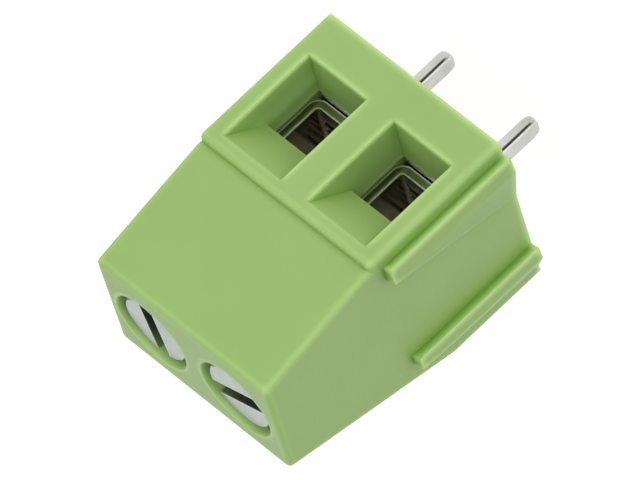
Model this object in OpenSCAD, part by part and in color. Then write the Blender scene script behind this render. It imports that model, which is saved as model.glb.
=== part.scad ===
// Two-pole rising-cage screw terminal for printed circuit boards.
// Millimetres. The origin lies on the board, at the middle of the row of solder
// pins. +Z points up to the screws and the wires enter from -Y.

/* [Pole row] */
// Distance between the two poles
pitch = 5; // [4.6:0.1:6.5]
// Wall between a wire entry and the end face of the housing
end_wall = 0.88; // [0.8:0.02:1.6]

/* [Housing] */
// Height of the housing above its own underside
body_h = 14.03; // [13.7:0.01:17]
// Depth of the housing along its underside
body_d = 10.04; // [9.7:0.02:12]
// Height of the front plate that holds the wire entries
plate_h = 7.6; // [7.2:0.05:8.6]
// How far the front plate stands proud of the sloping face
plate_proud = 0.4; // [0.2:0.05:0.6]
// Front edge of the top face, behind the front plate
top_front = 1.73; // [1.2:0.01:2.1]
// Back edge of the top face, behind the front plate
top_back = 7.66; // [7.2:0.01:8.6]
// Height at which the back face starts to lean
knee_h = 5.05; // [4:0.05:7]
// Radius on the outer edges
edge_r = 0.25; // [0.1:0.05:0.4]
// Radius where the back face starts to lean
knee_r = 0.6; // [0.2:0.1:2]

/* [Wire entries] */
// Width of a wire entry
entry_w = 3.34; // [2.9:0.02:3.6]
// Lower edge of the wire entries above the underside
entry_low = 2.02; // [1.8:0.02:2.2]
// Upper edge of the wire entries
entry_high = 6.94; // [6.4:0.02:7.1]
// Depth of the funnel
funnel_d = 2.22; // [1.8:0.02:2.3]
// Rise of the funnel's floor over its depth
floor_rise = 0.08; // [0:0.01:0.2]
// Draft of the funnel's side walls over its depth, each side
side_draft = 0.04; // [0:0.01:0.08]
// Depth at which the funnel's roof ramp ends
ramp_d = 1.67; // [1.2:0.01:1.75]
// Upper edge of the window at the bottom of the ramp
window_high = 4.94; // [4.6:0.02:5.1]
// Thickness of the web above the window
web_t = 0.34; // [0.3:0.02:0.5]
// Size of the broken edge around each entry
mouth_break = 0.07; // [0.02:0.01:0.12]

/* [Side tongues] */
// Front flank of the front tongue, behind the front plate
tongue_y = 0.84; // [0.7:0.02:1.1]
// Distance between the two tongues
tongue_gap = 6.94; // [6.4:0.02:7.2]
// How far the tongues stand out of the end face
tongue_out = 0.54; // [0.3:0.02:0.6]
// Height of the tongues
tongue_h = 6.98; // [5:0.02:7.1]
// Undercut of the tongues' front flank
undercut = 0.2; // [0.05:0.01:0.3]
// Width of the front tongue's crest
front_crest = 0.95; // [0.6:0.05:1.2]
// Width of the rear tongue's crest
rear_crest = 0.68; // [0.5:0.02:0.8]
// Rise of a crest from its front edge to its back edge
crest_rise = 0.09; // [0:0.01:0.15]
// Length of the ramp behind the front tongue's crest, at the board
front_ramp = 2.4; // [1:0.05:2.6]
// Length of the ramp behind the rear tongue's crest, at the board
rear_ramp = 1.2; // [0.6:0.05:1.3]
// Share of that length left at the upper end of the tongues
ramp_fade = 0.1; // [0.05:0.05:1]
// Clearance of the grooves around a neighbour's tongues
tongue_gap_clear = 0.06; // [0.03:0.01:0.1]

/* [Screws] */
// Distance of the screw axes behind the front plate
screw_y = 4.8; // [4.6:0.02:4.9]
// Nominal diameter of the thread
screw_d = 2.5; // [2:0.1:2.6]
// Diameter of the screw head
head_d = 3.48; // [3.2:0.02:3.7]
// Height of the screw head
head_h = 1.5; // [1.2:0.05:1.8]
// Diameter of the well that the head turns in
well_d = 3.94; // [3.8:0.02:4.2]
// Size of the broken edge around each well
well_break = 0.06; // [0.02:0.01:0.1]
// Radius of the head's broken rim
head_break = 0.15; // [0.05:0.01:0.25]
// Depth of the head below the top face
head_recess = 0.17; // [0.1:0.01:0.6]
// Width of the driver slot
slot_w = 0.74; // [0.4:0.02:0.9]
// Depth of the driver slot
slot_depth = 0.8; // [0.5:0.05:1]
// Running clearance around the shank, each side
shank_clear = 0.04; // [0.02:0.01:0.06]
// Chamfer at the screw's tip
tip_chamfer = 0.35; // [0.2:0.05:0.5]

/* [Clamp cages] */
// Thickness of the cage's sheet
cage_t = 0.4; // [0.3:0.02:0.56]
// Clearance between the shank and the sides of the cage
cage_shank_gap = 0.06; // [0.04:0.01:0.15]
// Gap between the web and the front of the cage
cage_front_gap = 0.34; // [0.15:0.01:0.5]
// Gap between the cage and the contact behind it
cage_back_gap = 0.3; // [0.1:0.02:0.5]
// Running clearance between the cage and the chamber's side walls
cage_clear = 0.09; // [0.05:0.01:0.15]
// Top of the cage's floor above the underside, with the cage open
cage_floor = 2.6; // [2.5:0.01:2.8]
// Inner bend radius of the cage
cage_bend = 0.16; // [0.08:0.02:0.3]
// Height of the threaded collar on the cage
collar_h = 0.7; // [0.4:0.05:1]
// Wall of the threaded collar
collar_wall = 0.35; // [0.25:0.05:0.5]
// Travel of the cage from open to closed
travel = 2; // [1.5:0.05:2.3]
// Number of grip grooves across the cage's floor
grip_count = 4; // [2:1:5]
// Distance between the grip grooves
grip_pitch = 0.6; // [0.4:0.05:0.7]
// Depth of the grip grooves
grip_depth = 0.09; // [0.05:0.01:0.15]

/* [Contacts] */
// Thickness of the contact's sheet
contact_t = 0.43; // [0.36:0.01:0.5]
// Top of the clamping bar inside the cage
bar_top = 6; // [5.9:0.02:6.2]
// Radius of the bar's nose
bar_nose_r = 0.15; // [0.05:0.01:0.3]
// Outer radius of the bend behind the cage
riser_bend = 0.4; // [0.1:0.02:0.42]
// Gap between the web and the front of the contact
contact_front_gap = 0.08; // [0.03:0.01:0.2]
// Clearance of the bar inside the cage, each side
bar_side_clear = 0.1; // [0.06:0.01:0.15]
// Gap between the contact and the cage above the strip and above the bar
contact_gap = 0.06; // [0.03:0.01:0.1]

/* [Solder pins] */
// Distance of the pin row behind the front plate
pin_y = 5.08; // [4.9:0.02:5.4]
// Width of a solder pin along the pole row
pin_w = 0.64; // [0.5:0.02:1]
// Length of the pins below the board's top
pin_len = 3.35; // [2.5:0.05:5]
// Length of the tapered tip
pin_taper = 0.3; // [0.2:0.02:0.8]
// Width left at the end of the tip, as a share of the pin's
tip_share = 0.65; // [0.3:0.05:0.8]
// Size of the seam between the folded leaves
seam = 0.07; // [0.03:0.01:0.12]

/* [Hidden] */

// Facets of the round surfaces
$fn = 48;
// Overlap that keeps cuts clean
eps = 0.02;
// Segments of a rounded corner in a drawn outline
corner_steps = 4;
// Turn of each screw's slot from the X axis, as left by the driver
slot_turn = [96.7, 24.5];

body_w = pitch + entry_w + 2*end_wall;
// Height of the small step from the front plate to the sloping face
step_rise = 0.27;
// Run of the step's hollow, and how deep the front plate is rooted in the block
step_run = 0.12;
plate_root = 1.5;
// How far the outlines run past the board plane before they are cut flat
skirt = 2*edge_r;
// How deep the tongues are rooted in the end wall
tongue_root = 0.3;

// The cage is centred on its screw and lies as long as the web allows
cage_inner_w = screw_d + 2*cage_shank_gap;
cage_w = cage_inner_w + 2*cage_t;
chamber_w = cage_w + 2*cage_clear;
chamber_y = funnel_d + web_t;
cage_y = chamber_y + cage_front_gap;
cage_len = 2*(screw_y - cage_y);
// Underside and top of the cage's doubled roof in the open position
cage_roof = bar_top + contact_gap;
cage_top = cage_roof + 2*cage_t;
// The chamber leaves room over the collar at the end of its travel
chamber_top = cage_top + collar_h + travel + contact_gap;

// The contact runs under the cage, up behind it and back through it
bar_t = 2*contact_t;
pin_d = 2*contact_t;
strip_top = cage_floor - cage_t - contact_gap;
riser_y = cage_y + cage_len + cage_back_gap;
chamber_back = riser_y + contact_t;

head_top = body_h - head_recess;
seat_z = head_top - head_h;
tip_z = bar_top + contact_gap/2;

function pole_x(pole) = (1.5 - pole)*pitch;

// Unit vector from a to b
function toward(a, b) = (b - a)/norm(b - a);

// Closed outline through the points p, with corner i rounded to radius r[i]
function rounded(p, r) = [
    for (i = [0:len(p) - 1])
        let (
            n = len(p),
            u = toward(p[i], p[(i + n - 1) % n]),
            v = toward(p[i], p[(i + 1) % n]),
            half = acos(max(-1, min(1, u*v)))/2,
            set_back = r[i] == 0 ? 0 : r[i]/tan(half),
            centre = p[i] + toward([0, 0], u + v)*(r[i] == 0 ? 0 : r[i]/sin(half)),
            first = p[i] + u*set_back - centre,
            last = p[i] + v*set_back - centre
        )
        each r[i] == 0 ? [p[i]] : [
            for (s = [0:corner_steps])
                let (w = s/corner_steps, mix = first*(1 - w) + last*w)
                centre + mix*(r[i]/norm(mix))
        ]
];

// Outline moved inwards by d, for an outline that runs counter-clockwise
function inset(p, d) = [
    for (i = [0:len(p) - 1])
        let (
            n = len(p),
            a = toward(p[(i + n - 1) % n], p[i]),
            b = toward(p[i], p[(i + 1) % n]),
            na = [-a[1], a[0]],
            nb = [-b[1], b[0]]
        )
        p[i] + (na + nb)*(d/(1 + na*nb))
];

// Depths are drawn behind the front plate and heights above the board
module seated() translate([0, -pin_y, 0]) children();

// Turns an outline drawn in Y and Z into a slab of width w, centred on X
module slab(w) rotate([90, 0, 90]) translate([0, 0, -w/2]) linear_extrude(w) children();

// Turns an outline drawn in X and Z into a bar from y to y + depth
module bar_along_y(y, depth)
    translate([0, y + depth, 0]) rotate([90, 0, 0]) linear_extrude(depth) children();

// Slab with its two outer rims rounded to radius r
module soft_slab(outline, w, r) {
    hull()
        for (s = [0:corner_steps])
            let (a = 90*s/corner_steps)
                slab(w - 2*r*(1 - sin(a))) polygon(inset(outline, r*(1 - cos(a))));
}

main_outline = [
    [plate_proud, -skirt], [body_d, -skirt],
    [body_d, knee_h], [top_back, body_h], [top_front, body_h],
    [plate_proud, plate_h + step_rise],
];
main_radii = [0, 0, knee_r, edge_r, edge_r, 0];

plate_outline = [
    [0, -skirt], [plate_root, -skirt],
    [plate_root, plate_h - plate_root], [plate_proud + step_run, plate_h + step_run/3],
    [0, plate_h],
];
plate_radii = [0, 0, 0, step_run/3, edge_r];

// Solid block of the housing, with the proud front plate
module block() {
    intersection() {
        union() {
            soft_slab(rounded(main_outline, main_radii), body_w, edge_r);
            soft_slab(rounded(plate_outline, plate_radii), body_w, edge_r);
        }
        translate([-body_w, -body_d, 0]) cube([2*body_w, 3*body_d, 2*body_h]);
    }
}

// Outline of a tongue in X and Y, pointing to -X from an end face at x = 0
function tongue_outline(crest, ramp, grow) = [
    [tongue_root, tongue_root*undercut/tongue_out - grow],
    [crest_rise - tongue_out - grow, -undercut - grow],
    [-tongue_out - grow, crest - undercut + grow],
    [0, crest - undercut + ramp + grow], [tongue_root, crest - undercut + ramp + grow],
];

// Share of a tongue's ramp left at height z
function ramp_share(z) = 1 - (1 - ramp_fade)*z/tongue_h;

// The two tongues as solids, or the two grooves with room around them
module tongues(grow, low) {
    crests = [front_crest, rear_crest];
    ramps = [front_ramp, rear_ramp];
    high = tongue_h + grow;
    for (i = [0, 1])
        translate([0, tongue_y + i*tongue_gap, 0]) hull() {
            translate([0, 0, low]) linear_extrude(eps)
                polygon(tongue_outline(crests[i], ramps[i]*ramp_share(low), grow));
            translate([0, 0, high - eps]) linear_extrude(eps)
                polygon(tongue_outline(crests[i], ramps[i]*ramp_share(high), grow));
        }
}

// Funnel of one wire entry, open to the front
module funnel() {
    side = [
        [-eps, entry_low - mouth_break], [mouth_break, entry_low],
        [funnel_d, entry_low + floor_rise], [funnel_d, window_high],
        [ramp_d, window_high], [mouth_break, entry_high], [-eps, entry_high + mouth_break],
    ];
    half = entry_w/2;
    plan = [
        [-half - mouth_break, -eps], [half + mouth_break, -eps], [half, mouth_break],
        [half - side_draft, funnel_d], [-half + side_draft, funnel_d], [-half, mouth_break],
    ];
    intersection() {
        slab(2*entry_w) polygon(side);
        linear_extrude(body_h) polygon(plan);
    }
}

// Window in the web between the funnel and the clamping chamber, as wide as the
// funnel is there
module window() {
    low = entry_low + floor_rise;
    half = entry_w/2 - side_draft;
    translate([-half, funnel_d - eps, low])
        cube([2*half, web_t + 2*eps, window_high - low]);
}

// Chamber, open below, in which the cage rises
module chamber()
    translate([-chamber_w/2, chamber_y, -1])
        cube([chamber_w, chamber_back - chamber_y, chamber_top + 1]);

// Well for the screw head and the hole for its shank
module screw_hole() translate([0, screw_y, 0]) {
    translate([0, 0, seat_z]) cylinder(d = well_d, h = body_h);
    translate([0, 0, body_h - well_break])
        cylinder(d1 = well_d, d2 = well_d + 4*well_break, h = 2*well_break);
    translate([0, 0, chamber_top - eps]) cylinder(d = screw_d + 2*shank_clear, h = body_h/2);
}

module housing() color("#99be73") seated() {
    difference() {
        union() {
            block();
            translate([-body_w/2, 0, 0]) tongues(0, 0);
        }
        translate([body_w/2, 0, 0]) tongues(tongue_gap_clear, -1);
        for (pole = [1, 2])
            translate([pole_x(pole), 0, 0]) {
                funnel();
                window();
                chamber();
                screw_hole();
            }
    }
}

module terminal_screw(pole) color("#b9c6c6") seated()
    translate([pole_x(pole), screw_y, 0]) {
        r = screw_d/2;
        difference() {
            rotate_extrude() polygon([
                [0, tip_z], [r - tip_chamfer, tip_z], [r, tip_z + tip_chamfer], [r, seat_z],
                [head_d/2, seat_z], [head_d/2, head_top - head_break],
                [head_d/2 - head_break, head_top], [0, head_top],
            ]);
            rotate(slot_turn[pole - 1])
                translate([-head_d, -slot_w/2, head_top - slot_depth])
                    cube([2*head_d, slot_w, 2*slot_depth]);
        }
    }

// Loop of the cage in X and Z: the two ends of the strip lie over each other
module cage_loop() {
    w = cage_w/2;
    low = cage_floor - cage_t;
    lap_end = cage_inner_w/2 - cage_t/4;
    outer_r = cage_bend + cage_t;
    difference() {
        polygon(rounded(
            [[-w, low], [w, low], [w, cage_roof + cage_t], [lap_end, cage_roof + cage_t],
             [lap_end, cage_top], [-w, cage_top]],
            [outer_r, outer_r, cage_t*0.9, 0, 0, outer_r]));
        polygon(rounded(
            [[-w + cage_t, cage_floor], [w - cage_t, cage_floor],
             [w - cage_t, cage_roof], [-w + cage_t, cage_roof]],
            [cage_bend, cage_bend, cage_bend, cage_bend]));
    }
}

module clamp_cage(pole) color("#cfd0c8") seated() {
    bore_d = screw_d + 2*shank_clear;
    translate([pole_x(pole), 0, 0]) difference() {
        union() {
            bar_along_y(cage_y, cage_len) cage_loop();
            translate([0, screw_y, cage_top - eps])
                cylinder(d = bore_d + 2*collar_wall, h = collar_h + eps);
        }
        translate([0, screw_y, cage_roof - eps])
            cylinder(d = bore_d, h = 2*cage_t + collar_h + 2*eps);
        for (i = [0:grip_count - 1])
            translate([0, screw_y + (i - (grip_count - 1)/2)*grip_pitch, cage_floor])
                rotate([45, 0, 0])
                    cube([cage_inner_w - 2*cage_bend, grip_depth*sqrt(2), grip_depth*sqrt(2)],
                         center = true);
    }
}

// Solder pin with its tapered tip, drawn downwards from z = 0 by length
module solder_pin(length) {
    w = pin_w/2;
    d = pin_d/2;
    difference() {
        intersection() {
            slab(2*pin_w) polygon([
                [-d, eps], [-d, pin_taper - length], [-d*tip_share, -length],
                [d*tip_share, -length], [d, pin_taper - length], [d, eps],
            ]);
            bar_along_y(-pin_d, 2*pin_d) polygon([
                [-w, eps], [-w, pin_taper - length], [-w*tip_share, -length],
                [w*tip_share, -length], [w, pin_taper - length], [w, eps],
            ]);
        }
        translate([-w, -d, pin_taper - length]) rotate(45)
            translate([-seam/2, -seam, 0]) cube([seam, 2*seam, length]);
    }
}

module contact_pin(pole) color("#c9c9c4") seated()
    translate([pole_x(pole), 0, 0]) {
        strip_low = strip_top - contact_t;
        front = chamber_y + contact_front_gap;
        bar_w = cage_inner_w - 2*bar_side_clear;
        // Strip under the cage and riser behind it, across the whole chamber
        slab(chamber_w) polygon(rounded(
            [[front, strip_low], [chamber_back, strip_low], [chamber_back, bar_top],
             [riser_y, bar_top], [riser_y, strip_top], [front, strip_top]],
            [0, riser_bend, 0, 0, 0, 0]));
        // Clamping bar inside the cage, folded double
        slab(bar_w) polygon(rounded(
            [[front, bar_top - bar_t], [riser_y + eps, bar_top - bar_t],
             [riser_y + eps, bar_top], [front, bar_top]],
            [bar_nose_r, 0, 0, bar_nose_r]));
        translate([0, pin_y, strip_low]) solder_pin(strip_low + pin_len);
    }

housing();
terminal_screw(1);  // terminal_screw_1
terminal_screw(2);  // terminal_screw_2
clamp_cage(1);  // clamp_cage_1
clamp_cage(2);  // clamp_cage_2
contact_pin(1);  // contact_pin_1
contact_pin(2);  // contact_pin_2
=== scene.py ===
"""Looks of a two-pole rising-cage screw terminal for printed circuit boards.

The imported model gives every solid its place. This script cuts the screws' thread, dresses
the solder pins, gives each piece its own finish and sets up the studio.
"""

from __future__ import annotations

import logging
import math
from collections.abc import Callable, Sequence
from dataclasses import dataclass, field
from enum import Enum

import bmesh
import bpy
from mathutils import Matrix, Vector, noise


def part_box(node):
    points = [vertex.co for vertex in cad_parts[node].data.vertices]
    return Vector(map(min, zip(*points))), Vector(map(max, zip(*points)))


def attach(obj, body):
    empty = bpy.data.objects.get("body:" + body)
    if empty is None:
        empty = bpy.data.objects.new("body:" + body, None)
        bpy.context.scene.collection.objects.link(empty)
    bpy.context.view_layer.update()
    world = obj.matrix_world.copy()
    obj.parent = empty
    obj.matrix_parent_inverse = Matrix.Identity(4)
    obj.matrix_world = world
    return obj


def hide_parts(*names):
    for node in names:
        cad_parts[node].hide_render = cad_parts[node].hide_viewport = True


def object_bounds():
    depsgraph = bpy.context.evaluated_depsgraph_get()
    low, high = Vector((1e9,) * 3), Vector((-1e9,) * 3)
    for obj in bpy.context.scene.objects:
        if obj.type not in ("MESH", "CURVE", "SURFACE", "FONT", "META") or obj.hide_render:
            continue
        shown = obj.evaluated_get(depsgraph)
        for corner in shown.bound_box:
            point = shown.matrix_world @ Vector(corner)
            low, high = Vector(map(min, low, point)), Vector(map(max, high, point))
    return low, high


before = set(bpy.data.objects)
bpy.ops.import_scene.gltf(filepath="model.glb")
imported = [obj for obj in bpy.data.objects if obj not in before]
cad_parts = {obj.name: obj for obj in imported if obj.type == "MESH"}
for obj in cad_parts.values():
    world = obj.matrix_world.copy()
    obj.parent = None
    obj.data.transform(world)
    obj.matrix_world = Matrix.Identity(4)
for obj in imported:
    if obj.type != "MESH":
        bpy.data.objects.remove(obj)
CAD_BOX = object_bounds()

LOG = logging.getLogger("terminal_block")
MM = 0.001
PER_MM = 1000.0
POLES = (1, 2)
GRAIN_DEPTH = 0.02 * MM
NOISE_LOW, NOISE_HIGH = 0.3, 0.7


# ---------------------------------------------------------------- shader graphs


class Graph:
    """A node tree under construction, with short calls to add and join nodes."""

    def __init__(self, tree: bpy.types.NodeTree) -> None:
        """Takes over a node tree and empties it.

        Args:
            tree: The tree of a material or of a shader node group.
        """
        self.tree = tree
        tree.nodes.clear()

    def add(self, kind: str, inputs: dict | None = None, **settings: object) -> bpy.types.Node:
        """Adds a node.

        Args:
            kind: Type name of the node.
            inputs: Socket name or number to a value, or to an output socket to join.
            settings: Properties of the node itself.

        Returns:
            The new node.
        """
        node = self.tree.nodes.new(kind)
        for name, value in settings.items():
            setattr(node, name, value)
        for key, value in (inputs or {}).items():
            if isinstance(value, bpy.types.NodeSocket):
                self.tree.links.new(value, node.inputs[key])
            else:
                node.inputs[key].default_value = value
        return node

    def math(self, operation: str, *values: object) -> bpy.types.NodeSocket:
        """Adds a Math node.

        Args:
            operation: Name of the operation.
            values: Its operands, as numbers or sockets.

        Returns:
            The output socket.
        """
        node = self.add("ShaderNodeMath", dict(enumerate(values)), operation=operation)
        return node.outputs[0]

    def mix(self, factor: object, first: object, second: object) -> bpy.types.NodeSocket:
        """Adds a Mix node for two colours or two normals.

        Args:
            factor: Share of the second one.
            first: First colour or normal.
            second: Second colour or normal.

        Returns:
            The output socket.
        """
        node = self.add("ShaderNodeMix", {0: factor, 6: first, 7: second}, data_type="RGBA")
        return node.outputs[2]

    def span(self, value: object, low: float, high: float, to_low: float = 0.0,
             to_high: float = 1.0) -> bpy.types.NodeSocket:
        """Maps a value from one range to another, with its ends clamped.

        Args:
            value: The value or socket.
            low: Value that becomes to_low.
            high: Value that becomes to_high.
            to_low: New low end.
            to_high: New high end.

        Returns:
            The output socket.
        """
        ends = {0: value, 1: low, 2: high, 3: to_low, 4: to_high}
        return self.add("ShaderNodeMapRange", ends, clamp=True).outputs[0]

    def soft_span(self, value: object, to_low: float = 0.0, to_high: float = 1.0
                  ) -> bpy.types.NodeSocket:
        """Maps the usual range of a noise to another range.

        Args:
            value: The noise's socket.
            to_low: New low end.
            to_high: New high end.

        Returns:
            The output socket.
        """
        return self.span(value, NOISE_LOW, NOISE_HIGH, to_low, to_high)

    def place(self) -> bpy.types.NodeSocket:
        """Returns the socket that gives the surface's place in the piece's own space."""
        return self.add("ShaderNodeTexCoord").outputs["Object"]


class Sockets(Enum):
    """Kinds of socket on a shader node group."""

    NUMBER = "NodeSocketFloat"
    VECTOR = "NodeSocketVector"


def new_group(name: str, inputs: dict[str, Sockets], outputs: dict[str, Sockets]
              ) -> tuple[bpy.types.NodeTree, Graph, bpy.types.Node, bpy.types.Node]:
    """Starts a shader node group.

    Args:
        name: Name of the group.
        inputs: Names and kinds of its inputs.
        outputs: Names and kinds of its outputs.

    Returns:
        The tree, its graph, and the nodes that hold the inputs and the outputs.
    """
    tree = bpy.data.node_groups.new(name, "ShaderNodeTree")
    for label, kind in inputs.items():
        tree.interface.new_socket(label, in_out="INPUT", socket_type=kind.value)
    for label, kind in outputs.items():
        tree.interface.new_socket(label, in_out="OUTPUT", socket_type=kind.value)
    graph = Graph(tree)
    return tree, graph, graph.add("NodeGroupInput"), graph.add("NodeGroupOutput")


class SharedEffects:
    """Shader node groups that several finishes use."""

    def __init__(self) -> None:
        """Builds each group once."""
        self.grain = self._grain()
        self.form = self._form()
        self.dust = self._dust()

    @staticmethod
    def _grain() -> bpy.types.NodeTree:
        """Builds the fine unevenness of a surface.

        Returns:
            A group from Place, Scale and Fine Scale to Broad, Fine and Height.
        """
        tree, graph, given, out = new_group(
            "surface_grain",
            {"Place": Sockets.VECTOR, "Scale": Sockets.NUMBER, "Fine Scale": Sockets.NUMBER},
            {"Broad": Sockets.NUMBER, "Fine": Sockets.NUMBER, "Height": Sockets.NUMBER},
        )
        broad = graph.add(
            "ShaderNodeTexNoise",
            {"Vector": given.outputs["Place"], "Scale": given.outputs["Scale"], "Detail": 3.0},
        )
        fine = graph.add(
            "ShaderNodeTexNoise",
            {
                "Vector": given.outputs["Place"],
                "Scale": given.outputs["Fine Scale"],
                "Detail": 4.0,
                "Roughness": 0.6,
            },
        )
        broad_share = 0.35
        height = graph.math("MULTIPLY_ADD", broad.outputs[0], broad_share, fine.outputs[0])
        for label, socket in (
            ("Broad", broad.outputs[0]), ("Fine", fine.outputs[0]), ("Height", height),
        ):
            graph.tree.links.new(socket, out.inputs[label])
        return tree

    @staticmethod
    def _form() -> bpy.types.NodeTree:
        """Builds the masks that tell outer edges and recesses from open faces.

        Returns:
            A group from Edge Reach and Recess Reach to an Edge and a Recess mask.
        """
        tree, graph, given, out = new_group(
            "edges_and_recesses",
            {"Edge Reach": Sockets.NUMBER, "Recess Reach": Sockets.NUMBER},
            {"Edge": Sockets.NUMBER, "Recess": Sockets.NUMBER},
        )
        for label, inside, hidden_share in (("Edge", True, 0.5), ("Recess", False, 0.75)):
            open_share = graph.add(
                "ShaderNodeAmbientOcclusion", {"Distance": given.outputs[f"{label} Reach"]},
                samples=8, inside=inside, only_local=True,
            ).outputs["AO"]
            mask = graph.span(open_share, 1.0, 1.0 - hidden_share)
            graph.tree.links.new(mask, out.inputs[label])
        return tree

    @staticmethod
    def _dust() -> bpy.types.NodeTree:
        """Builds sparse specks of dust.

        Returns:
            A group from Place, Scale and Amount to Mask.
        """
        tree, graph, given, out = new_group(
            "dust",
            {"Place": Sockets.VECTOR, "Scale": Sockets.NUMBER, "Amount": Sockets.NUMBER},
            {"Mask": Sockets.NUMBER},
        )
        cells = graph.add(
            "ShaderNodeTexVoronoi",
            {"Vector": given.outputs["Place"], "Scale": given.outputs["Scale"]},
        )
        rim, core, rarity = 0.08, 0.03, 0.72
        speck = graph.span(cells.outputs["Distance"], rim, core)
        chosen = graph.math("GREATER_THAN", cells.outputs["Color"], rarity)
        sparse = graph.math("MULTIPLY", speck, chosen)
        mask = graph.math("MULTIPLY", sparse, given.outputs["Amount"])
        graph.tree.links.new(mask, out.inputs["Mask"])
        return tree


# ---------------------------------------------------------------- finishes

Colour = tuple[float, float, float]


def rgba(colour: Colour) -> tuple[float, float, float, float]:
    """Returns a colour with full opacity."""
    return (*colour, 1.0)


@dataclass(frozen=True)
class MouldedPlastic:
    """Satin moulded polyamide, slightly translucent, with painted highlights on its outer edges
    and painted shade in recesses.
    """

    name: str = "moulded_polyamide"
    colour: Colour = (0.278, 0.432, 0.124)
    deep: Colour = (0.266, 0.418, 0.115)
    # Colour of the painted highlight along the outer edges.
    edge: Colour = (0.450, 0.640, 0.240)
    edge_reach: float = 0.36 * MM
    edge_evenness: float = 0.8
    shade: Colour = (0.215, 0.420, 0.055)
    shade_share: float = 0.7
    recess_reach: float = 0.65 * MM
    dust: Colour = (0.60, 0.68, 0.50)
    dust_scale: float = 900.0
    dust_amount: float = 0.12
    roughness: float = 0.46
    roughness_spread: float = 0.10
    grain_scale: float = 260.0
    fine_scale: float = 9000.0
    bump: float = 0.10
    soft_radius: float = 0.10 * MM
    soft_from: float = 0.2
    refraction: float = 1.5
    glow_share: float = 0.35
    glow_spread: Colour = (0.7, 1.0, 0.45)
    glow_depth: float = 0.8 * MM

    def material(self, shared: SharedEffects) -> bpy.types.Material:
        """Builds the material.

        Args:
            shared: The shader node groups.

        Returns:
            The material.
        """
        made = bpy.data.materials.new(self.name)
        made.use_nodes = True
        graph = Graph(made.node_tree)
        place = graph.place()
        grain = graph.add(
            "ShaderNodeGroup",
            {"Place": place, "Scale": self.grain_scale, "Fine Scale": self.fine_scale},
            node_tree=shared.grain,
        )
        form = graph.add(
            "ShaderNodeGroup",
            {"Edge Reach": self.edge_reach, "Recess Reach": self.recess_reach},
            node_tree=shared.form,
        )
        dust = graph.add(
            "ShaderNodeGroup",
            {"Place": place, "Scale": self.dust_scale, "Amount": self.dust_amount},
            node_tree=shared.dust,
        )
        cloud = graph.soft_span(grain.outputs["Broad"])
        body = graph.mix(cloud, rgba(self.deep), rgba(self.colour))
        depth = graph.math("MULTIPLY", form.outputs["Recess"], self.shade_share)
        sunk = graph.mix(depth, body, rgba(self.shade))
        patchy = graph.span(cloud, 0.0, 1.0, self.edge_evenness, 1.0)
        # Painted highlight: the outer edges are mixed towards a paler colour.
        painted_edge_highlight = graph.math("MULTIPLY", form.outputs["Edge"], patchy)
        with_edge_highlight = graph.mix(painted_edge_highlight, sunk, rgba(self.edge))
        dusty = graph.mix(dust.outputs["Mask"], with_edge_highlight, rgba(self.dust))
        rough = graph.soft_span(
            grain.outputs["Fine"],
            self.roughness - self.roughness_spread,
            self.roughness + self.roughness_spread,
        )
        flat = graph.add("ShaderNodeNewGeometry").outputs["Normal"]
        soft = graph.add("ShaderNodeBevel", {"Radius": self.soft_radius}, samples=4)
        near_edge = graph.span(form.outputs["Edge"], 0.0, self.soft_from)
        lean = graph.mix(near_edge, flat, soft.outputs[0])
        bump = graph.add(
            "ShaderNodeBump",
            {
                "Strength": self.bump,
                "Distance": GRAIN_DEPTH,
                "Height": grain.outputs["Height"],
                "Normal": lean,
            },
        )
        shader = graph.add(
            "ShaderNodeBsdfPrincipled",
            {
                "Base Color": dusty,
                "Roughness": rough,
                "Normal": bump.outputs[0],
                "IOR": self.refraction,
                "Subsurface Weight": self.glow_share,
                "Subsurface Radius": self.glow_spread,
                "Subsurface Scale": self.glow_depth,
            },
        )
        graph.add("ShaderNodeOutputMaterial", {"Surface": shader.outputs[0]})
        return made


class Lay(Enum):
    """Direction of the fine marks that tooling leaves on metal."""

    TURNED = "turned"
    ROLLED = "rolled"
    DIPPED = "dipped"


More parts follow.
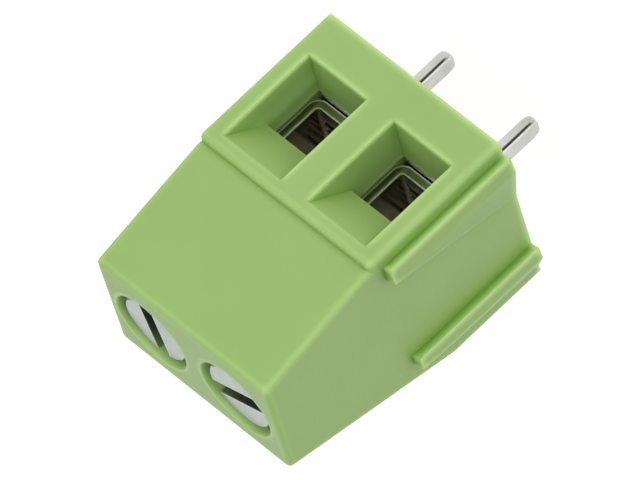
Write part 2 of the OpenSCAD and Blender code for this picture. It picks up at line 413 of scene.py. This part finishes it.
@dataclass(frozen=True)
class PlatedMetal:
    """Plated steel or copper alloy, with tool marks under the plating, painted shade in recesses
    and a painted highlight on edges.
    """

    name: str
    colour: Colour
    deep: Colour
    roughness: float
    lay: Lay
    roughness_spread: float = 0.08
    cloud_scale: float = 900.0
    mark_scale: float = 9000.0
    mark_share: float = 0.7
    bump: float = 0.15
    # Dark colour of the painted shade in recesses.
    recess_shade: Colour = (0.035, 0.040, 0.030)
    recess_shade_share: float = 0.9
    # Colour of the painted highlight on the edges.
    edge_highlight_colour: Colour = (0.92, 0.92, 0.90)
    edge_reach: float = 0.08 * MM
    recess_reach: float = 0.6 * MM
    burr: float = 0.1

    def _marks(self, graph: Graph, place: bpy.types.NodeSocket) -> bpy.types.NodeSocket:
        """Builds the tool marks.

        Args:
            graph: The material's graph.
            place: The surface's place in the piece's own space.

        Returns:
            A socket with the marks' height.
        """
        if self.lay is Lay.TURNED:
            return graph.add(
                "ShaderNodeTexWave",
                {
                    "Vector": place,
                    "Scale": self.mark_scale / 3,
                    "Distortion": 1.2,
                    "Detail": 2.0,
                    "Detail Scale": 2.0,
                },
                wave_type="RINGS",
                rings_direction="Z",
            ).outputs["Fac"]
        stretch = (1.0, 0.08, 1.0) if self.lay is Lay.ROLLED else (0.6, 0.6, 0.25)
        drawn = graph.add(
            "ShaderNodeMapping", {"Vector": place, "Scale": stretch}, vector_type="POINT"
        )
        return graph.add(
            "ShaderNodeTexNoise",
            {"Vector": drawn.outputs[0], "Scale": self.mark_scale / 2, "Detail": 3.0},
        ).outputs[0]

    def material(self, shared: SharedEffects) -> bpy.types.Material:
        """Builds the material.

        Args:
            shared: The shader node groups.

        Returns:
            The material.
        """
        made = bpy.data.materials.new(self.name)
        made.use_nodes = True
        graph = Graph(made.node_tree)
        place = graph.place()
        grain = graph.add(
            "ShaderNodeGroup",
            {"Place": place, "Scale": self.cloud_scale, "Fine Scale": self.mark_scale},
            node_tree=shared.grain,
        )
        form = graph.add(
            "ShaderNodeGroup",
            {"Edge Reach": self.edge_reach, "Recess Reach": self.recess_reach},
            node_tree=shared.form,
        )
        cloud = graph.soft_span(grain.outputs["Broad"])
        plating = graph.mix(cloud, rgba(self.deep), rgba(self.colour))
        # Painted shade: recesses are darkened towards the shade colour.
        recess_shade_amount = graph.math("MULTIPLY", form.outputs["Recess"], self.recess_shade_share)
        recess_shaded = graph.mix(recess_shade_amount, plating, rgba(self.recess_shade))
        # Painted highlight: the edges are mixed towards a bright colour.
        painted_edge_highlight = graph.mix(form.outputs["Edge"], recess_shaded, rgba(self.edge_highlight_colour))
        even = graph.soft_span(
            grain.outputs["Fine"],
            self.roughness - self.roughness_spread,
            self.roughness + self.roughness_spread,
        )
        rough = graph.math("MULTIPLY_ADD", form.outputs["Edge"], self.burr, even)
        marks = self._marks(graph, place)
        height = graph.math("MULTIPLY_ADD", marks, self.mark_share, grain.outputs["Height"])
        bump = graph.add(
            "ShaderNodeBump",
            {"Strength": self.bump, "Distance": GRAIN_DEPTH, "Height": height},
        )
        shader = graph.add(
            "ShaderNodeBsdfPrincipled",
            {"Base Color": painted_edge_highlight, "Metallic": 1.0, "Roughness": rough, "Normal": bump.outputs[0]},
        )
        graph.add("ShaderNodeOutputMaterial", {"Surface": shader.outputs[0]})
        return made


GREEN_HOUSING = MouldedPlastic()
ZINC_SCREW = PlatedMetal(
    name="zinc_plating",
    colour=(0.38, 0.43, 0.40),
    deep=(0.30, 0.35, 0.32),
    roughness=0.34,
    lay=Lay.TURNED,
)
NICKEL_CAGE = PlatedMetal(
    name="nickel_plating",
    colour=(0.48, 0.45, 0.35),
    deep=(0.36, 0.33, 0.25),
    roughness=0.12,
    lay=Lay.ROLLED,
    roughness_spread=0.03,
    # Lighter painted shade in the cage's recesses.
    recess_shade_share=0.5,
    # Near-white painted highlight on the cage's edges.
    edge_highlight_colour=(1.0, 1.0, 0.98),
    edge_reach=0.09 * MM,
    burr=0.6,
)
TINNED_CONTACT = PlatedMetal(
    name="tin_plating",
    colour=(0.64, 0.64, 0.61),
    deep=(0.52, 0.52, 0.49),
    roughness=0.22,
    lay=Lay.DIPPED,
)


# ---------------------------------------------------------------- mesh tools


def modified(mesh: bpy.types.Mesh, modifiers: Callable[[bpy.types.Object], None]
             ) -> bpy.types.Mesh:
    """Applies modifiers to a mesh.

    Args:
        mesh: The mesh to start from.
        modifiers: Adds the modifiers to the object it is given.

    Returns:
        The new mesh.
    """
    holder = bpy.data.objects.new("holder", mesh)
    bpy.context.scene.collection.objects.link(holder)
    modifiers(holder)
    evaluated = holder.evaluated_get(bpy.context.evaluated_depsgraph_get())
    made = bpy.data.meshes.new_from_object(evaluated)
    bpy.data.objects.remove(holder)
    return made


def finished(name: str, mesh: bpy.types.Mesh, material: bpy.types.Material,
             smooth_angle: float = 32.0) -> bpy.types.Object:
    """Makes an object from a mesh that is drawn in millimetres.

    Args:
        name: Name of the piece.
        mesh: Its mesh, in millimetres.
        material: Its material.
        smooth_angle: Edges flatter than this many degrees are shaded smooth.

    Returns:
        The object, in metres.
    """
    mesh.transform(Matrix.Scale(MM, 4))
    mesh.materials.clear()
    mesh.materials.append(material)
    mesh.shade_smooth()
    mesh.set_sharp_from_angle(angle=math.radians(smooth_angle))

    def keep_flats_flat(holder: bpy.types.Object) -> None:
        """Lets the large faces rule the shading of the narrow ones beside them."""
        step = holder.modifiers.new("normals", "WEIGHTED_NORMAL")
        step.keep_sharp = True

    piece = bpy.data.objects.new(name, modified(mesh, keep_flats_flat))
    bpy.context.scene.collection.objects.link(piece)
    return piece


def clean_copy(node: str) -> bpy.types.Mesh:
    """Copies a solid's mesh in millimetres, with its flat faces whole.

    The faces are parted along the middle planes of the poles, so that none of them
    runs all the way around an opening.

    Args:
        node: Name of the solid.

    Returns:
        The copied mesh.
    """
    weld_mm = 0.0008
    flat_degrees = 0.6
    solid = bmesh.new()
    solid.from_mesh(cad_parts[node].data)
    bmesh.ops.scale(solid, vec=Vector((PER_MM,) * 3), verts=solid.verts)
    bmesh.ops.remove_doubles(solid, verts=solid.verts, dist=weld_mm)
    for pole in POLES:
        low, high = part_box(f"terminal_screw_{pole}")
        parting = bmesh.ops.bisect_plane(
            solid,
            geom=[*solid.verts, *solid.edges, *solid.faces],
            dist=weld_mm,
            plane_co=(low + high) / 2 * PER_MM,
            plane_no=(1, 0, 0),
        )
        for cut in parting["geom_cut"]:
            if isinstance(cut, bmesh.types.BMEdge):
                cut.seam = True
    bmesh.ops.dissolve_limit(
        solid,
        angle_limit=math.radians(flat_degrees),
        verts=solid.verts,
        edges=solid.edges,
        delimit={"SEAM"},
    )
    mesh = bpy.data.meshes.new(node + "_copy")
    solid.to_mesh(mesh)
    solid.free()
    return mesh


def rolled_edges(mesh: bpy.types.Mesh, width: float, segments: int) -> bpy.types.Mesh:
    """Rolls the sharp edges of a mesh over.

    Very short edges stay sharp, and so do those that touch the board plane, unless they
    rise straight out of it.

    Args:
        mesh: The mesh, in millimetres.
        width: Width of the roll in millimetres.
        segments: Faces across the roll.

    Returns:
        The same mesh.
    """
    sharp_degrees, shortest_mm = 40.0, 0.3
    upright, board_mm = 0.999, 0.01
    solid = bmesh.new()
    solid.from_mesh(mesh)

    def rolls(edge: bmesh.types.BMEdge) -> bool:
        """Tells whether an edge is rolled."""
        along = edge.verts[1].co - edge.verts[0].co
        if along.length < shortest_mm or not edge.is_manifold:
            return False
        if edge.calc_face_angle(0.0) < math.radians(sharp_degrees):
            return False
        on_board = any(abs(end.co.z) < board_mm for end in edge.verts)
        return not on_board or abs(along.normalized().z) > upright

    bmesh.ops.bevel(
        solid,
        geom=[edge for edge in solid.edges if rolls(edge)],
        offset=width,
        offset_type="OFFSET",
        segments=segments,
        profile=0.5,
        affect="EDGES",
        clamp_overlap=False,
        loop_slide=False,
        miter_outer="ARC",
    )
    solid.to_mesh(mesh)
    solid.free()
    return mesh


def skinned(rings: Sequence[Sequence[Vector]]) -> bmesh.types.BMesh:
    """Stretches a skin over rings of points and closes both ends.

    Args:
        rings: Rings with the same number of points, from one end to the other.

    Returns:
        A closed bmesh.
    """
    solid = bmesh.new()
    loops = [[solid.verts.new(point) for point in ring] for ring in rings]
    for low, high in zip(loops, loops[1:]):
        for i, start in enumerate(low):
            j = (i + 1) % len(low)
            solid.faces.new((start, low[j], high[j], high[i]))
    solid.faces.new(reversed(loops[0]))
    solid.faces.new(loops[-1])
    return solid


def lathe(profile: Sequence[tuple[float, float]], around: int,
          radius_at: Callable[[float, float, float], float] | None = None) -> bmesh.types.BMesh:
    """Turns a profile about the Z axis.

    Args:
        profile: Points (radius, height) from the bottom to the top, on the axis at neither end.
        around: Number of points around the axis.
        radius_at: Gives the radius from the profile's radius, the height and the angle.

    Returns:
        A closed bmesh.
    """
    rings = []
    for radius, height in profile:
        ring = []
        for i in range(around):
            angle = 2 * math.pi * i / around
            r = radius_at(radius, height, angle) if radius_at else radius
            ring.append(Vector((r * math.cos(angle), r * math.sin(angle), height)))
        rings.append(ring)
    return skinned(rings)


# ---------------------------------------------------------------- the block


@dataclass
class Housing:
    """The green moulding with the wire entries, screw wells and side tongues."""

    node: str = "housing"
    body: str = "housing"
    smooth_angle: float = 13.0

    def build(self, material: bpy.types.Material) -> bpy.types.Object:
        """Builds the moulding over its solid. Its finish softens the sharp edges.

        Args:
            material: The finish, as a material.

        Returns:
            The piece.
        """
        mesh = clean_copy(self.node)
        piece = finished("housing_moulding", mesh, material, self.smooth_angle)
        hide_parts(self.node)
        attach(piece, self.body)
        return piece


@dataclass
class TerminalScrew:
    """A slotted screw with a cut thread, drawn in millimetres about its own axis."""

    pole: int
    thread_pitch: float = 0.45
    thread_depth: float = 0.27
    thread_length: float = 4.6
    groove_share: float = 0.85
    runout_turns: float = 1.5
    shank_radius: float = 1.212
    shank_in_head: float = 0.4
    tip_chamfer: float = 0.35
    head_height: float = 1.5
    head_break: float = 0.13
    head_foot: float = 0.04
    slot_width: float = 0.74
    slot_depth: float = 0.8
    slot_roll: float = 0.035
    slot_turns: tuple[float, float] = (96.7, 24.5)
    smooth_angle: float = 28.0
    around: int = 72
    rings_per_turn: int = 9
    rim_steps: int = 4
    head_radius: float = field(init=False)
    low: Vector = field(init=False)
    high: Vector = field(init=False)

    def __post_init__(self) -> None:
        """Takes the screw's reach from its solid."""
        low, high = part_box(self.node)
        self.low, self.high = low * PER_MM, high * PER_MM
        self.head_radius = (self.high.x - self.low.x) / 2

    @property
    def node(self) -> str:
        """Name of the solid and of its body."""
        return f"terminal_screw_{self.pole}"

    def _thread_radius(self, radius: float, height: float, angle: float) -> float:
        """Gives the radius of the threaded shank.

        Args:
            radius: Radius of the plain shank.
            height: Height on the screw's axis.
            angle: Angle about the axis.

        Returns:
            The radius with the thread cut into it.
        """
        start = self.low.z
        end = start + self.thread_length
        at_tip = 1e-6
        if height > end or height <= start + at_tip:
            return radius
        runout = self.runout_turns * self.thread_pitch
        share = min(1.0, max(0.0, (end - height) / runout))
        phase = ((height - start) / self.thread_pitch - angle / (2 * math.pi)) % 1.0
        groove = max(0.0, 1.0 - abs(phase - 0.5) * 2 / self.groove_share)
        return radius - self.thread_depth * share * groove

    def _shank(self) -> bmesh.types.BMesh:
        """Turns the shank with its thread.

        Returns:
            A closed bmesh.
        """
        start, seat = self.low.z, self.high.z - self.head_height
        steps = round(self.rings_per_turn * self.thread_length / self.thread_pitch)
        profile = [(self.shank_radius - self.tip_chamfer, start)]
        for i in range(1, steps + 1):
            rise = self.thread_length * i / steps
            radius = min(self.shank_radius, self.shank_radius - self.tip_chamfer + rise)
            profile.append((radius, start + rise))
        profile.append((self.shank_radius, seat + self.shank_in_head))
        return lathe(profile, self.around, self._thread_radius)

    def _head(self) -> bmesh.types.BMesh:
        """Turns the head with its broken rim.

        Returns:
            A closed bmesh.
        """
        top, rim = self.high.z, self.head_radius
        seat = top - self.head_height
        profile = [(rim - self.head_foot, seat), (rim, seat + self.head_foot)]
        for i in range(self.rim_steps + 1):
            angle = math.pi / 2 * i / self.rim_steps
            radius = rim - self.head_break * (1 - math.cos(angle))
            height = top - self.head_break * (1 - math.sin(angle))
            profile.append((radius, height))
        return lathe(profile, self.around)

    def _slot_cutter(self) -> bmesh.types.BMesh:
        """Makes the block that cuts the driver slot.

        Returns:
            A closed bmesh.
        """
        cutter = bmesh.new()
        size = Vector((4 * self.head_radius, self.slot_width, 2 * self.slot_depth))
        turn = Matrix.Rotation(math.radians(self.slot_turns[self.pole - 1]), 4, "Z")
        place = Matrix.Translation((0, 0, self.high.z))
        bmesh.ops.create_cube(cutter, size=1.0, matrix=place @ turn @ Matrix.Diagonal((*size, 1)))
        return cutter

    def build(self, material: bpy.types.Material) -> bpy.types.Object:
        """Builds the screw.

        Args:
            material: The finish, as a material.

        Returns:
            The piece.
        """
        parts = []
        for label, solid in (
            ("head", self._head()), ("shank", self._shank()), ("slot", self._slot_cutter()),
        ):
            mesh = bpy.data.meshes.new(f"{self.node}_{label}")
            bmesh.ops.recalc_face_normals(solid, faces=solid.faces)
            solid.to_mesh(mesh)
            solid.free()
            part = bpy.data.objects.new(mesh.name, mesh)
            bpy.context.scene.collection.objects.link(part)
            parts.append(part)
        head, shank, slot = parts

        def cut(holder: bpy.types.Object) -> None:
            """Cuts the slot."""
            step = holder.modifiers.new("slot", "BOOLEAN")
            step.operation = "DIFFERENCE"
            step.object = slot
            step.solver = "EXACT"

        def join(holder: bpy.types.Object) -> None:
            """Joins the shank on."""
            step = holder.modifiers.new("shank", "BOOLEAN")
            step.operation = "UNION"
            step.object = shank
            step.solver = "EXACT"

        slotted = rolled_edges(modified(head.data, cut), self.slot_roll, 2)
        mesh = modified(slotted, join)
        for part in parts:
            bpy.data.objects.remove(part)
        piece = finished(f"screw_{self.pole}", mesh, material, self.smooth_angle)
        axis = (self.low + self.high) / 2 * MM
        piece.location = (axis.x, axis.y, 0)
        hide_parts(self.node)
        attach(piece, self.node)
        return piece


@dataclass
class SheetPart:
    """A part bent from sheet, with the sharp sheared edges of its solid."""

    node: str
    body: str
    piece_name: str
    slot_name: str

    def build(self, material: bpy.types.Material) -> bpy.types.Object:
        """Builds the part.

        Args:
            material: The finish, as a material.

        Returns:
            The piece.
        """
        piece = finished(self.piece_name, self._form(), material)
        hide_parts(self.node)
        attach(piece, self.body)
        return piece

    def _form(self) -> bpy.types.Mesh:
        """Gives the part's mesh, in millimetres."""
        return clean_copy(self.node)


@dataclass
class Contact(SheetPart):
    """A contact with rolled edges, and a solder pin with a seam and a hammered tip.

    Its measures are in millimetres, and heights count from the board plane.
    """

    edge_roll: float = 0.045
    pin_width: float = 0.64
    pin_depth: float = 0.86
    pin_corner: float = 0.11
    corner_steps: int = 4
    tip_length: float = 0.46
    tip_share: float = 0.58
    tip_rings: int = 26
    plain_rings: tuple[float, float] = (0.6, 0.2)
    seam_width: float = 0.17
    seam_depth: float = 0.14
    hammering: float = 0.22
    hammer_scale: float = 4.0
    hammer_offset: float = 0.045
    pin_cut: float = -0.05
    pin_overlap: float = 0.15

    def _outline(self, to_tip: float) -> list[tuple[float, float]]:
        """Draws the pin's outline about its axis.

        Args:
            to_tip: 0 above the tip, rising to 1 at its end.

        Returns:
            Points (x, y), counter-clockwise from above.
        """
        w, d, r = self.pin_width / 2, self.pin_depth / 2, self.pin_corner
        points = []
        for side, end, start in ((1, -1, -90), (1, 1, 0), (-1, 1, 90), (-1, -1, 180)):
            for i in range(self.corner_steps + 1):
                angle = math.radians(start + 90 * i / self.corner_steps)
                x = side * (w - r) + r * math.cos(angle)
                y = end * (d - r) + r * math.sin(angle)
                points.append((x, y))
        deep = self.seam_depth * (1 - to_tip)
        seam = ((0.25, deep), (0.75, deep), (1.0, 0.0))
        points += [(r - w + share * self.seam_width, sink - d) for share, sink in seam]
        shrink = 1 - (1 - self.tip_share) * (1 - math.sqrt(1 - to_tip**2))
        return [(x * shrink, y * shrink) for x, y in points]

    def _pin(self, axis: Vector, top: float, bottom: float) -> bmesh.types.BMesh:
        """Builds the solder pin.

        Args:
            axis: A point on its axis.
            top: Height of its upper end.
            bottom: Height of its tip.

        Returns:
            A closed bmesh.
        """
        tip_from = bottom + self.tip_length
        heights = [top, *(tip_from + rise for rise in self.plain_rings)]
        for i in range(self.tip_rings):
            angle = math.pi / 2 * i / (self.tip_rings - 1)
            heights.append(tip_from - self.tip_length * math.sin(angle))
        rings = []
        for height in heights:
            to_tip = min(1.0, max(0.0, (tip_from - height) / self.tip_length))
            ring = []
            for x, y in self._outline(to_tip):
                spot = Vector((x, y, height)) * self.hammer_scale
                spot.z += self.hammer_offset + axis.x
                lump = noise.noise(spot)
                dent = 1 - self.hammering * max(0.0, lump) * to_tip
                ring.append(Vector((axis.x + x * dent, axis.y + y * dent, height)))
            rings.append(ring)
        return skinned(list(reversed(rings)))

    def _form(self) -> bpy.types.Mesh:
        """Gives the contact's mesh with its dressed pin, in millimetres."""
        mesh = clean_copy(self.node)
        solid = bmesh.new()
        solid.from_mesh(mesh)
        below = [point.co.copy() for point in solid.verts if point.co.z < self.pin_cut]
        axis = (Vector(map(min, zip(*below))) + Vector(map(max, zip(*below)))) / 2
        bottom = min(point.z for point in below)
        cut = bmesh.ops.bisect_plane(
            solid,
            geom=[*solid.verts, *solid.edges, *solid.faces],
            plane_co=(0, 0, self.pin_cut),
            plane_no=(0, 0, -1),
            clear_outer=True,
        )
        rim = [part for part in cut["geom_cut"] if isinstance(part, bmesh.types.BMEdge)]
        bmesh.ops.contextual_create(solid, geom=rim)
        solid.to_mesh(mesh)
        solid.free()
        rolled_edges(mesh, self.edge_roll, 3)
        joined = self._pin(axis, self.pin_cut + self.pin_overlap, bottom)
        joined.from_mesh(mesh)
        bmesh.ops.recalc_face_normals(joined, faces=joined.faces)
        joined.to_mesh(mesh)
        joined.free()
        return mesh


# ---------------------------------------------------------------- the studio


@dataclass(frozen=True)
class TentPanel:
    """A bright part of the white tent that fades out smoothly around its middle."""

    way: tuple[float, float, float]
    strength: float
    narrowness: float = 6.0

    def glow(self, graph: Graph, way: bpy.types.NodeSocket) -> bpy.types.NodeSocket:
        """Builds the panel's share of the light.

        Args:
            graph: The world's graph.
            way: The way from the block that is lit from.

        Returns:
            A socket with the strength in that way.
        """
        middle = tuple(Vector(self.way).normalized())
        along = graph.add("ShaderNodeVectorMath", {0: way, 1: middle}, operation="DOT_PRODUCT")
        facing = graph.math("MAXIMUM", along.outputs["Value"], 0.0)
        fade = graph.math("POWER", facing, self.narrowness)
        return graph.math("MULTIPLY", fade, self.strength)


def toward(azimuth: float, elevation: float) -> Vector:
    """Gives the way from the block to a viewer.

    Args:
        azimuth: Degrees about Z. 0 looks along +Y.
        elevation: Degrees above the floor.

    Returns:
        A unit vector.
    """
    a, e = math.radians(azimuth), math.radians(elevation)
    return Vector((math.sin(a) * math.cos(e), -math.cos(a) * math.cos(e), math.sin(e)))


@dataclass
class Studio:
    """A pale floor, soft light and the camera."""

    azimuth: float = -30.05
    elevation: float = 15.30
    roll: float = -133.2
    distance: float = 727.1 * MM
    lens: float = 1000.0
    aim_right: float = 0.014 * MM
    aim_up: float = 0.772 * MM
    clip_range: tuple[float, float] = (0.05, 20.0)
    floor_size: float = 6.0
    floor_colour: Colour = (0.25, 0.25, 0.25)
    floor_roughness: float = 0.9
    floor_glow: float = 0.89
    panels: tuple[TentPanel, ...] = (
        TentPanel((-1.0, -1.0, 0.0), 4.1, 12.0),
        TentPanel((1.0, -1.0, 0.0), 0.35),
        TentPanel((0.0, -1.0, 0.0), 1.1, 12.0),
        TentPanel((0.0, -1.0, 1.0), 2.1, 12.0),
        TentPanel((0.0, 0.0, 1.0), 1.62),
        TentPanel((0.3, 1.0, 0.25), 1.60),
        TentPanel((0.5, -0.85, 0.3), 0.6, 18.0),
    )

    def _camera(self, middle: Vector) -> None:
        """Sets up the camera.

        Args:
            middle: The middle of the housing.
        """
        back = toward(self.azimuth, self.elevation)
        level = Vector((0, 0, 1)).cross(back).normalized()
        turn = Matrix.Rotation(math.radians(self.roll), 3, back)
        right = turn @ level
        up = back.cross(right)
        lens = bpy.data.cameras.new("camera")
        lens.lens = self.lens
        lens.clip_start, lens.clip_end = self.clip_range
        holder = bpy.data.objects.new("camera", lens)
        place = middle + right * self.aim_right + up * self.aim_up + back * self.distance
        axes = Matrix((right, up, back)).transposed().to_4x4()
        holder.matrix_world = Matrix.Translation(place) @ axes
        bpy.context.scene.collection.objects.link(holder)
        bpy.context.scene.camera = holder

    def _floor(self, height: float) -> None:
        """Lays the floor.

        Args:
            height: Height of its surface.
        """
        half = self.floor_size / 2
        mesh = bpy.data.meshes.new("floor")
        corners = [(-half, -half, 0), (half, -half, 0), (half, half, 0), (-half, half, 0)]
        mesh.from_pydata(corners, [], [(0, 1, 2, 3)])
        floor = bpy.data.objects.new("floor", mesh)
        floor.location = (0, 0, height)
        material = bpy.data.materials.new("floor")
        material.use_nodes = True
        graph = Graph(material.node_tree)
        shader = graph.add(
            "ShaderNodeBsdfPrincipled",
            {
                "Base Color": rgba(self.floor_colour),
                "Roughness": self.floor_roughness,
                "Emission Color": rgba((1, 1, 1)),
                "Emission Strength": self.floor_glow,
            },
        )
        graph.add("ShaderNodeOutputMaterial", {"Surface": shader.outputs[0]})
        mesh.materials.append(material)
        bpy.context.scene.collection.objects.link(floor)

    def _sky(self) -> None:
        """Sets the light of the white tent from its panels."""
        world = bpy.data.worlds.new("tent")
        world.use_nodes = True
        graph = Graph(world.node_tree)
        way = graph.add("ShaderNodeTexCoord").outputs["Generated"]
        strength = self.panels[0].glow(graph, way)
        for panel in self.panels[1:]:
            strength = graph.math("ADD", strength, panel.glow(graph, way))
        light = graph.add(
            "ShaderNodeBackground", {"Color": rgba((1, 1, 1)), "Strength": strength}
        )
        graph.add("ShaderNodeOutputWorld", {"Surface": light.outputs[0]})
        bpy.context.scene.world = world

    def build(self) -> None:
        """Builds the studio round the block."""
        low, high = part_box("housing")
        middle = (low + high) / 2
        self._camera(middle)
        self._floor(CAD_BOX[0][2])
        self._sky()
        view = bpy.context.scene.view_settings
        view.view_transform = "Standard"
        view.look = "None"


def report(piece: bpy.types.Object) -> None:
    """Logs a piece and its number of faces."""
    LOG.info("%s: %d faces", piece.name, len(piece.data.polygons))


def main() -> None:
    """Builds the block and its studio."""
    logging.basicConfig(level=logging.INFO, format="%(name)s: %(message)s")
    shared = SharedEffects()
    plastic = GREEN_HOUSING.material(shared)
    zinc = ZINC_SCREW.material(shared)
    nickel = NICKEL_CAGE.material(shared)
    tin = TINNED_CONTACT.material(shared)
    report(Housing().build(plastic))
    for pole in POLES:
        report(TerminalScrew(pole).build(zinc))
        cage = f"clamp_cage_{pole}"
        report(SheetPart(cage, cage, f"cage_{pole}", "cage_steel").build(nickel))
        contact = f"contact_pin_{pole}"
        report(Contact(contact, "housing", f"contact_{pole}", "contact_tin").build(tin))
    Studio().build()


if __name__ == "__main__":
    main()
